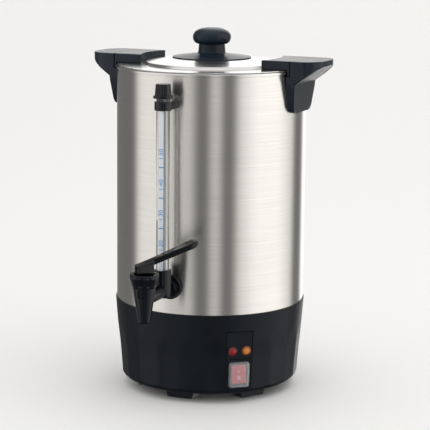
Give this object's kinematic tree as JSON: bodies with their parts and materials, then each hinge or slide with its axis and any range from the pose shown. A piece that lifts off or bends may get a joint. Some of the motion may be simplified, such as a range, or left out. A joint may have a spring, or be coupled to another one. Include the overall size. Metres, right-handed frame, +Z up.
{
  "type": "electric hot drinks urn",
  "caption": "Tall cylindrical steel urn on a black plastic base, with a lever tap, a vertical sight gauge, a turn-to-lock lid with a round knob and two side handles.",
  "frame": {"origin": "where the vessel's vertical axis meets the table it stands on", "axes": "+Z up along the vessel's axis, -Y towards the tap and the sight gauge, +X and -X towards the handles"},
  "size_m": [0.314, 0.3352, 0.46],
  "materials": {
    "brushed_steel": "satin, brushed round the vessel",
    "polished_steel": "polished",
    "tank_steel": "satin",
    "plain_steel": "plain",
    "cast_aluminium": "cast",
    "base_plastic": "fine-grained moulded",
    "handle_plastic": "satin moulded",
    "knob_plastic": "satin moulded",
    "gauge_plastic": "gloss moulded",
    "tap_plastic": "semi-gloss moulded",
    "lever_plastic": "gloss moulded",
    "sensor_plastic": "moulded",
    "terminal_plastic": "moulded",
    "red_plastic": "gloss",
    "red_lens": "clear red",
    "amber_lens": "clear amber",
    "rubber": "matt",
    "silicone": "translucent white",
    "clear_silicone": "clear, slightly milky",
    "gauge_glass": "clear"
  },
  "bodies": {
    "base": {"outer_jacket": "brushed_steel", "inner_tank": "tank_steel", "tank_studs": "plain_steel", "base_skirt": "base_plastic", "base_bottom": "base_plastic", "foot_pads": "rubber", "base_screws": "plain_steel", "tie_bolts": "plain_steel", "heater_plate": "cast_aluminium", "heater_ring": "plain_steel", "boil_thermostat": "sensor_plastic", "keep_warm_thermostat": "sensor_plastic", "thermal_cutout": "sensor_plastic", "terminal_block": "terminal_plastic", "switch_housing": "base_plastic", "switch_boot": "clear_silicone", "red_lamp_body": "base_plastic", "red_lens": "red_lens", "amber_lamp_body": "base_plastic", "amber_lens": "amber_lens", "cord_gland": "base_plastic", "gland_nut": "base_plastic", "handle_bracket_right": "handle_plastic", "handle_bracket_left": "handle_plastic", "handle_screws": "plain_steel", "gauge_tube": "gauge_glass", "gauge_seal": "silicone", "gauge_clip": "gauge_plastic", "clip_screw": "plain_steel", "tap_body": "tap_plastic", "tap_washer_outer": "rubber", "tap_washer_inner": "rubber", "tap_nut": "tap_plastic", "tap_bonnet": "tap_plastic"},
    "lid_seal": {"lid_gasket": "silicone"},
    "lid": {"lid_cover": "polished_steel", "lid_ear_right": "handle_plastic", "lid_ear_left": "handle_plastic", "ear_screws": "plain_steel", "knob_base": "knob_plastic", "knob_cap": "knob_plastic", "knob_screw": "plain_steel"},
    "gauge_top": {"gauge_cap": "gauge_plastic"},
    "valve": {"seat_cup": "silicone"},
    "spindle": {"tap_stem": "tap_plastic", "lever_pin": "plain_steel"},
    "lever": {"tap_lever": "lever_plastic"},
    "switch_key": {"rocker": "red_plastic"}
  },
  "joints": [
    {"name": "lid_lift", "type": "slide", "parent": "base", "child": "lid_seal", "axis": [0, 0, 1], "range_m": [0, 0.12]},
    {"name": "lid_turn", "type": "hinge", "parent": "lid_seal", "child": "lid", "pos_m": [0, 0, 0.412], "axis": [0, 0, 1], "range_deg": [0, 38]},
    {"name": "gauge_cap_pull", "type": "slide", "parent": "base", "child": "gauge_top", "axis": [0, 0, 1], "range_m": [0, 0.03]},
    {"name": "valve_lift", "type": "slide", "parent": "base", "child": "valve", "axis": [0, 0, 1], "range_m": [0, 0.0045]},
    {"name": "lever_swivel", "type": "hinge", "parent": "valve", "child": "spindle", "pos_m": [0, -0.196, 0.184], "axis": [0, 0, 1], "range_deg": [-120, 15]},
    {"name": "lever_press", "type": "hinge", "parent": "spindle", "child": "lever", "pos_m": [0, -0.196, 0.184], "axis": [-0.6871, 0.7266, 0], "range_deg": [0, 30]},
    {"name": "switch_rock", "type": "hinge", "parent": "base", "child": "switch_key", "pos_m": [0.0753, -0.08363, 0.03824], "axis": [0.7431, 0.6691, 0], "range_deg": [0, 18]}
  ],
  "couplings": [
    {"joint": "valve_lift", "follows": "lever_press", "m_per_rad": 0.008}
  ]
}
